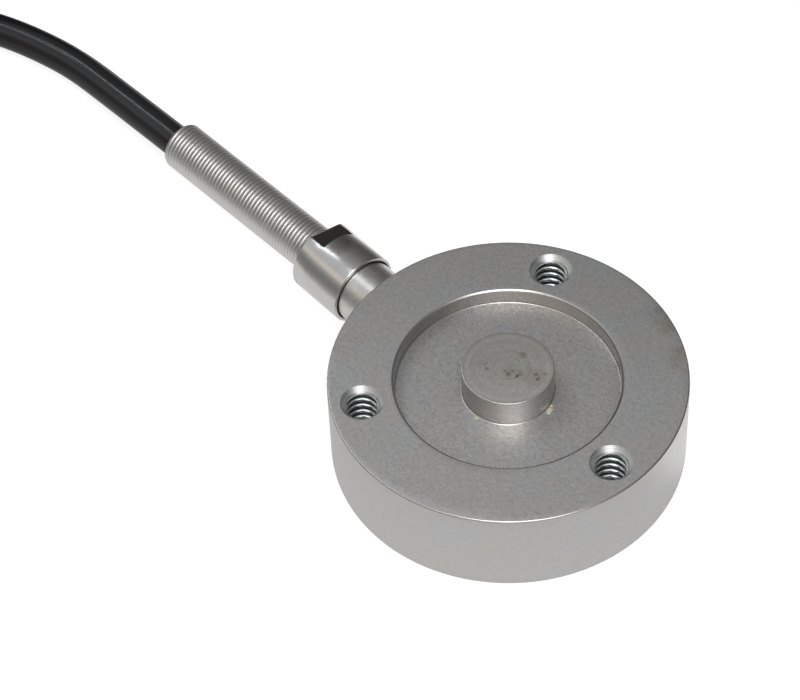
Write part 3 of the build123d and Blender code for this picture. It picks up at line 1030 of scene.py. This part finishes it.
def build_collar(g):
    """The collar screwed over the stem: a turned cap cut back to two spanner flats."""
    half = math.acos(g.flat_width / g.collar_radius)
    first, second = g.flat_angle, g.flat_angle + math.pi
    corners = [first - half, first + half, second - half, second + half, first - half + math.tau]
    spans = [
        np.linspace(low, high, count, endpoint=False)
        for low, high, count in zip(corners, corners[1:], (24, 40, 24, 40))
    ]
    turns = np.concatenate(spans)
    cut = g.flat_width / np.maximum(np.abs(np.cos(turns - g.flat_angle)), 1e-6)
    edge, round_edge = 0.15, 0.08
    rows = [
        (g.collar_start, g.collar_bore, np.inf),
        (g.collar_start, g.collar_radius - edge, np.inf),
        (g.collar_start + 0.05, g.collar_radius - 0.05, np.inf),
        (g.collar_start + edge, g.collar_radius, np.inf),
        (g.flat_start, g.collar_radius, np.inf),
        (g.flat_start, g.collar_radius, cut),
        (g.collar_end - edge, g.collar_radius, cut),
        (g.collar_end - 0.05, g.collar_radius - 0.05, cut - 0.03),
        (g.collar_end, g.collar_radius - edge, cut - round_edge),
        (g.collar_end, g.collar_mouth + round_edge, np.inf),
        (g.collar_end - round_edge, g.collar_mouth, np.inf),
        (g.shoulder, g.collar_mouth, np.inf),
        (g.shoulder, g.collar_bore, np.inf),
        (g.collar_start, g.collar_bore, np.inf),
    ]
    rings = [along_x([row[:2]], turns, g.height, row[2])[0] for row in rows]
    piece = closed_piece("gland_cap", np.stack(rings), sharp=30.0)
    fit_out(piece, "gland_steel", [collar_steel(g)], "gland_collar")


class LOADCELL_OT_gland(bpy.types.Operator):
    """Builds the gland's stem and collar."""

    bl_idname = "loadcell.gland"
    bl_label = "Gland"

    def execute(self, context):
        g = sizes(context.scene.load_cell_gland)
        build_stem(g)
        build_collar(g)
        return {"FINISHED"}


class LOADCELL_OT_spring(bpy.types.Operator):
    """Builds the close-wound strain relief spring.

    The wire's centre turns about an axis that droops from the gland's axis, and moves on by the
    wire's thickness in each turn.
    """

    bl_idname = "loadcell.spring"
    bl_label = "Spring"

    def execute(self, context):
        g = sizes(context.scene.load_cell_gland)
        lift, first_turn, around = 0.009, math.radians(100.0), 12
        rise = (g.pivot - g.spring_start) * math.tan(g.spring_tilt) + lift
        start = np.array([g.spring_start, 0.0, g.height + rise])
        ahead = np.array([math.cos(g.spring_tilt), 0.0, -math.sin(g.spring_tilt)])
        across = np.array([0.0, 1.0, 0.0])
        above = np.cross(ahead, across)
        turn = np.linspace(0.0, g.spring_turns * math.tau, g.spring_turns * 40 + 1)[:, None]
        pitch = 2 * g.wire_radius
        reach = g.wire_radius + pitch * turn / math.tau
        turn = turn - first_turn
        outward = across * np.cos(turn) + above * np.sin(turn)
        line = start + ahead * reach + outward * g.spring_radius
        tangent = g.spring_radius * (above * np.cos(turn) - across * np.sin(turn))
        third = np.cross(unit(tangent + ahead * pitch / math.tau), outward)
        spin = full_turn(around)[None, :, None]
        ring = outward[:, None] * np.cos(spin) + third[:, None] * np.sin(spin)
        rows = line[:, None] + ring * g.wire_radius * 0.996
        piece = closed_piece("relief_spring", capped(rows, line[0], line[-1]))
        fit_out(piece, "spring_steel", [spring_steel(g.wire)], "strain_relief_spring")
        return {"FINISHED"}


# The cable, its coil and its end


def coil_path(c):
    """The cable's whole line: out of the gland, round the coil and along its tail.

    The coil has four columns and three layers. The radius steps from one column to the next, and
    the height from one layer to the next, each by a smooth step over a short part of a turn.
    """
    route = [
        (12.025, 0.0, 3.95),
        (18.5, 0.0, 3.95),
        (24.975, 0.0, 3.95),
        (36.0, 0.0, 3.33),
        (48.4, 0.0, 2.64),
        (57.0, 0.0, 2.03),
        (63.1, 0.05, 1.63),
        (68.2, 1.15, 1.62),
        (72.76, 2.7, 1.62),
        (77.96, 5.59, 1.75),
        (83.4, 8.73, 2.0),
    ]
    width = 2 * c.radius
    onto_coil = c.tail_height - (c.coil_bottom + 5 * c.radius)
    # Each step: the turns at which it starts and ends, then its radius and height
    steps = [(start, start + 0.12, -width, 0.0) for start in (0.85, 1.85, 2.85)]
    steps += [(3.73, 3.85, 0.0, width)]
    steps += [(start, start + 0.12, width, 0.0) for start in (4.61, 5.61, 6.61)]
    steps += [(7.49, 7.61, 0.0, width)]
    steps += [(start, start + 0.12, -width, 0.0) for start in (8.37, 9.37, 10.37)]
    steps += [(11.28, 11.404, 0.0, onto_coil), (11.377, 11.527, 1.5 * width, 0.0)]
    per_turn = 24
    last = 11.0 + (c.coil_start - c.tail_end) / math.tau
    turns = np.arange(0.0, last, 1.0 / per_turn)
    turns = np.append(turns[:-1], last)
    radius = np.full(len(turns), c.coil_radius + 1.5 * width)
    height = np.full(len(turns), c.coil_bottom + c.radius)
    for low, high, out, up in steps:
        share = smooth(turns, low, high)
        radius += out * share
        height += up * share
    # The curve runs a little inside its control points, at this share of their radius
    reached = 0.9957
    wound = on_coil(c, radius / reached, c.coil_start - turns * math.tau, height)
    return np.concatenate([np.array(route), wound])


class LOADCELL_OT_cable(bpy.types.Operator):
    """Builds the cable as one curve."""

    bl_idname = "loadcell.cable"
    bl_label = "Cable"

    def execute(self, context):
        c = sizes(context.scene.load_cell_cable)
        path = coil_path(c) * MM
        curve = bpy.data.curves.new("signal_cable", "CURVE")
        curve.dimensions = "3D"
        curve.bevel_depth = c.radius * MM
        curve.bevel_resolution = 6
        curve.use_fill_caps = True
        spline = curve.splines.new("NURBS")
        spline.points.add(len(path) - 1)
        whole = np.concatenate([path, np.ones((len(path), 1))], axis=1)
        spline.points.foreach_set("co", whole.ravel())
        spline.order_u = 3
        spline.use_endpoint_u = True
        spline.resolution_u = 4
        piece = bpy.data.objects.new("signal_cable", curve)
        context.scene.collection.objects.link(piece)
        jacket = plastic("cable_jacket", c.jacket, 0.19, 1400.0, 0.004)
        fit_out(piece, "cable_jacket", [jacket], "cable", "cable_coil", "cable_tail")
        return {"FINISHED"}


class LOADCELL_OT_fittings(bpy.types.Operator):
    """Builds the coil's tie, the shrunk sleeve and the tinned ends of the leads."""

    bl_idname = "loadcell.fittings"
    bl_label = "Tie, sleeve and tinned ends"

    def execute(self, context):
        c = sizes(context.scene.load_cell_cable)
        self.tie(c)
        self.sleeve(c)
        self.tips(c)
        return {"FINISHED"}

    def tie(self, c):
        """A band of rounded loops round the coil's section, and a head with a slot."""
        thick, gap, half, soft = 0.6, 0.08, 1.3, 0.12
        width, depth = 8 * c.radius + 2 * gap, 6 * c.radius + 2 * gap
        out = np.array([math.cos(c.tie_angle), math.sin(c.tie_angle), 0.0])
        along = np.cross(UP, out)
        middle = on_coil(c, c.coil_radius, c.tie_angle, c.coil_bottom + 3 * c.radius)

        def rows(centre, loops):
            return np.stack(
                [
                    centre + loop[:, :1] * out + loop[:, 1:] * UP + along * offset
                    for loop, offset in loops
                ]
            )

        inner = rounded_loop(width, depth, 0.8)
        outer = rounded_loop(width + 2 * thick, depth + 2 * thick, 1.4)
        slim = rounded_loop(width + 2 * thick - 2 * soft, depth + 2 * thick - 2 * soft, 1.3)
        band = [(inner, -half), (slim, -half), (outer, -half + soft)]
        band += [(outer, half - soft), (slim, half), (inner, half), (inner, -half)]
        block = rounded_loop(2.36, 4.3, 0.28, 4)
        small = rounded_loop(2.36 - 2 * soft, 4.3 - 2 * soft, 0.2, 4)
        slot = rounded_loop(1.0, 2.7, 0.1, 4)
        head = [(slot, -1.0), (slot, -1.7), (small, -1.75), (block, -1.6)]
        head += [(block, 1.6), (small, 1.75), (slot, 1.7), (slot, 1.0)]
        shell = Shell()
        shell.grid(rows(middle, band))
        box = rows(middle + out * (width / 2 + 1.21), head)
        shell.grid(capped(box, box[0].mean(0), box[-1].mean(0)))
        nylon = plastic("tie_nylon", (0.03, 0.03, 0.032), 0.42)
        fit_out(shell.make("cable_tie"), "tie_nylon", [nylon], "coil_tie")

    def sleeve(self, c):
        """A tube on the coil's tail, with wrinkles, drawn in at both ends."""
        count = 40
        bearing = c.tail_end + np.radians(np.linspace(21.4, -3.7, count))
        line = on_coil(c, c.coil_radius, bearing, c.tail_height)
        share = np.linspace(0.0, 1.0, count)
        body = 1.86 + 0.03 * np.sin(share * 47.0) * np.sin(share * 11.0)
        body = body - 0.22 * (1 - smooth(share, 0.0, 0.08)) - 0.35 * smooth(share, 0.86, 1.0)
        outside = tube_along(line, body, count)
        inside = tube_along(line, 1.62 - 0.2 * smooth(share, 0.88, 1.0), count)
        points = np.concatenate([outside, inside[::-1], outside[:1]])
        shrunk = plastic("shrink_sleeve", (0.022, 0.022, 0.022), 0.5)
        fit_out(closed_piece("shrunk_sleeve", points), "shrink_sleeve", [shrunk], "end_sleeve")

    def tips(self, c):
        """Five ends of seven twisted strands: one in the middle and six wound round it."""
        shell = Shell()
        low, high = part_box("tinned_ends")
        height = (low.z + high.z) / 2 / MM
        spacing, length, turns, lay, wire = 1.2, 3.92, 4.0, 0.19, 0.1
        before, last = (c.tail_end - math.radians(degrees) for degrees in (46.0, 70.0))
        share = np.linspace(0.0, 1.0, 60)
        for place in range(5):
            radius = c.coil_radius + (place - 2) * spacing
            end = on_coil(c, radius, last, height)
            heading = unit(end - on_coil(c, radius, before, height))
            side = np.cross(heading, UP)
            for strand in range(7):
                phase = (share * turns * math.tau + strand * math.tau / 6)[:, None]
                off = (lay if strand < 6 else 0.0) * (1 - 0.25 * smooth(share, 0.9, 1.0))
                round_it = (side * np.cos(phase) + UP * np.sin(phase)) * off[:, None]
                line = end + heading * (share * length + 0.04)[:, None] + round_it
                shell.grid(capped(tube_along(line, wire, 8), line[0], line[-1]))
        tinned = metal("tinned_copper", (0.68, 0.68, 0.66), 0.3)
        fit_out(shell.make("stranded_tips"), "tinned_copper", [tinned], "tinned_ends")


class LOADCELL_OT_inside(bpy.types.Operator):
    """Gives the leads and the parts inside the cell their materials."""

    bl_idname = "loadcell.inside"
    bl_label = "Leads and inside"

    def execute(self, context):
        slots = {row["node"]: row["material_slot"] for row in frame["record"]["subparts"]}
        made = {}
        for name, node in frame["nodes"].items():
            if node.hide_render:
                continue
            slot = slots.get(name)
            if slot not in PLAIN_FINISHES:
                raise RuntimeError(f"no material for {name}, whose slot is {slot}")
            if slot not in made:
                kind, tone, roughness = PLAIN_FINISHES[slot]
                made[slot] = kind(slot, tone, roughness)
            node.data.materials.clear()
            node.data.materials.append(made[slot].material)
        return {"FINISHED"}


# The studio: elevations in degrees about X, from +Y over the top, and the tone seen there
WARM, COOL = (0.93, 0.87, 0.8), (0.59, 0.62, 0.66)
STUDIO_BANDS = (
    (0, 0.30),
    (6, 0.25),
    (18, 0.24),
    (30, 0.40),
    (42, WARM),
    (54, 0.62),
    (66, COOL),
    (78, COOL),
    (90, 0.40),
    (102, 0.33),
    (114, 0.26),
    (126, 0.19),
    (138, 0.14),
    (150, 0.11),
    (162, 0.10),
    (174, 0.13),
    (180, 0.20),
)


class LOADCELL_OT_stage(bpy.types.Operator):
    """Sets up the camera, the floor, the light and the world."""

    bl_idname = "loadcell.stage"
    bl_label = "Stage"

    def execute(self, context):
        t = sizes(context.scene.load_cell_stage)
        self.camera(context, t)
        self.floor(context)
        self.world(context, t)
        self.lamp(context, "key", t.key_power, 0.36, (-0.315, 0.185, 0.475))
        self.lamp(context, "top", t.top_power, 0.12, (-0.04, 0.06, 0.3))
        self.lamp(context, "strip", t.strip_power, 0.03, (0.206, 0.045, 0.3), 0.15)
        self.lamp(context, "far strip", t.strip_power, 0.02, (0.33, -0.01, 0.3), 0.1)
        return {"FINISHED"}

    def camera(self, context, t):
        """Looks from an azimuth and an elevation at a target, turned by the roll."""
        flat = Vector((math.cos(t.azimuth), math.sin(t.azimuth), 0.0)) * math.cos(t.elevation)
        back = flat + Vector((0.0, 0.0, math.sin(t.elevation)))
        level = Vector((-math.sin(t.azimuth), math.cos(t.azimuth), 0.0))
        above = back.cross(level)
        right = level * math.cos(t.roll) + above * math.sin(t.roll)
        up = above * math.cos(t.roll) - level * math.sin(t.roll)
        data = bpy.data.cameras.new("camera")
        data.lens = t.lens
        data.sensor_width = 36.0
        data.clip_start = 0.01
        data.clip_end = 20.0
        camera = bpy.data.objects.new("camera", data)
        target = Vector((14.464, 0.186, 0.0))
        place = (target + back * t.distance) * MM
        turned = Matrix((right, up, back)).transposed().to_4x4()
        camera.matrix_world = Matrix.Translation(place) @ turned
        context.scene.collection.objects.link(camera)
        context.scene.camera = camera

    def floor(self, context):
        """A white floor that keeps the shadow: mostly its own light for the camera's rays.

        In reflections it is bright beside the cell, dim far from it and dimmer past the spring.
        """
        mesh = bpy.data.meshes.new("floor")
        reach, level = 1.6, -0.02 * MM
        mesh.from_pydata(
            [(x * reach, y * reach, level) for x, y in ((-1, -1), (1, -1), (1, 1), (-1, 1))],
            [],
            [(0, 1, 2, 3)],
        )
        floor = bpy.data.objects.new("floor", mesh)
        context.scene.collection.objects.link(floor)
        material = bpy.data.materials.new("floor")
        material.use_nodes = True
        nodes = material.node_tree.nodes
        nodes.remove(nodes["Principled BSDF"])
        tree = Tree(material.node_tree)
        path = tree.add("ShaderNodeLightPath").outputs
        place = tree.add("ShaderNodeTexCoord").outputs["Object"]
        parts = tree.parts(place)
        x, y = parts["X"], parts["Y"]
        from_body = tree.math("SUBTRACT", tree.distance(place), 15.9 * MM)
        from_gland = tree.math("SUBTRACT", tree.math("ABSOLUTE", y), 3.5 * MM)
        beside = tree.math("MAXIMUM", from_gland, tree.math("SUBTRACT", 14.0 * MM, x))
        far = tree.remap(tree.math("MINIMUM", from_body, beside), 8.0 * MM, 26.0 * MM)
        near = tree.remap(y, -12.0 * MM, -7.0 * MM, 0.9, 0.5)
        near = tree.math("ADD", near, tree.remap(x, 15.0 * MM, 19.0 * MM, 0.0, 0.11))
        fade = tree.times(near, tree.math("SUBTRACT", 1.0, far))
        beyond = tree.remap(x, 46.0 * MM, 50.0 * MM, 1.0, 0.5)
        mirrored = tree.times(tree.scaled(far, 0.2, fade), beyond)
        seen, glossy = path["Is Camera Ray"], path["Is Glossy Ray"]
        bright = tree.math("MAXIMUM", tree.times(seen, 0.8), tree.times(glossy, mirrored))
        tone = tree.mix(seen, rgba(0.22), rgba(0.42))
        diffuse = tree.add("ShaderNodeBsdfDiffuse", {"Color": tone}).outputs[0]
        shine = tree.add("ShaderNodeEmission", {"Strength": bright}).outputs[0]
        mixed = tree.add("ShaderNodeAddShader", {0: diffuse, 1: shine}).outputs[0]
        tree.put(nodes["Material Output"].inputs["Surface"], mixed)
        floor.data.materials.append(material)

    def world(self, context, t):
        """White to the camera; a banded studio to reflections, by the angle about X."""
        world = bpy.data.worlds.new("studio")
        context.scene.world = world
        world.use_nodes = True
        world.node_tree.nodes.clear()
        tree = Tree(world.node_tree)
        parts = tree.parts(tree.add("ShaderNodeTexCoord").outputs["Generated"])
        turn = tree.math("ARCTAN2", parts["Z"], parts["Y"])
        half_turns = tree.math("DIVIDE", turn, math.pi)
        stops = [(degrees / 180.0, tone) for degrees, tone in STUDIO_BANDS]
        path = tree.add("ShaderNodeLightPath").outputs
        light = tree.mix(path["Is Glossy Ray"], rgba(t.fill), tree.ramp(half_turns, stops))
        clear = tree.math("MAXIMUM", path["Is Camera Ray"], path["Is Transmission Ray"])
        light = tree.mix(clear, light, rgba(1.0))
        shine = tree.add("ShaderNodeBackground", {"Color": light, "Strength": 1.0}).outputs[0]
        tree.put(tree.add("ShaderNodeOutputWorld").inputs["Surface"], shine)

    def lamp(self, context, name, watts, across, place, along=None):
        """A soft light, square or a strip, that faces the cell."""
        data = bpy.data.lights.new(name, "AREA")
        data.energy = watts
        data.size = across
        if along is not None:
            data.shape = "RECTANGLE"
            data.size_y = along
            data.color = (0.92, 0.97, 1.0)
        lamp = bpy.data.objects.new(name, data)
        lamp.location = place
        lamp.rotation_euler = (-Vector(place)).to_track_quat("-Z", "Y").to_euler()
        context.scene.collection.objects.link(lamp)


class LOADCELL_PT_panel(bpy.types.Panel):
    """Lists the load cell's pieces and sizes."""

    bl_idname = "LOADCELL_PT_panel"
    bl_label = "Button load cell"
    bl_space_type = "VIEW_3D"
    bl_region_type = "UI"
    bl_category = "Load Cell"

    def draw(self, context):
        for operator in OPERATORS:
            self.layout.operator(operator.bl_idname)
        for name, kind in GROUPS.items():
            box = self.layout.box()
            for key in kind.__annotations__:
                box.prop(getattr(context.scene, name), key)


GROUPS = {
    "load_cell_body": LoadCellBody,
    "load_cell_gland": LoadCellGland,
    "load_cell_cable": LoadCellCable,
    "load_cell_stage": LoadCellStage,
}
OPERATORS = (
    LOADCELL_OT_stage,
    LOADCELL_OT_cable,
    LOADCELL_OT_body,
    LOADCELL_OT_cover,
    LOADCELL_OT_gland,
    LOADCELL_OT_spring,
    LOADCELL_OT_fittings,
    LOADCELL_OT_inside,
)


def register():
    for name, kind in GROUPS.items():
        bpy.utils.register_class(kind)
        setattr(bpy.types.Scene, name, PointerProperty(type=kind))
    for kind in OPERATORS + (LOADCELL_PT_panel,):
        bpy.utils.register_class(kind)


def unregister():
    for kind in (LOADCELL_PT_panel,) + OPERATORS[::-1]:
        bpy.utils.unregister_class(kind)
    for name, kind in GROUPS.items():
        delattr(bpy.types.Scene, name)
        bpy.utils.unregister_class(kind)


def main():
    register()
    scene = bpy.context.scene
    scene.view_settings.view_transform = "Standard"
    bpy.ops.loadcell.stage()
    bpy.ops.loadcell.cable()
    bpy.ops.loadcell.body()
    bpy.ops.loadcell.cover()
    bpy.ops.loadcell.gland()
    bpy.ops.loadcell.spring()
    bpy.ops.loadcell.fittings()
    bpy.ops.loadcell.inside()


if __name__ == "__main__":
    main()
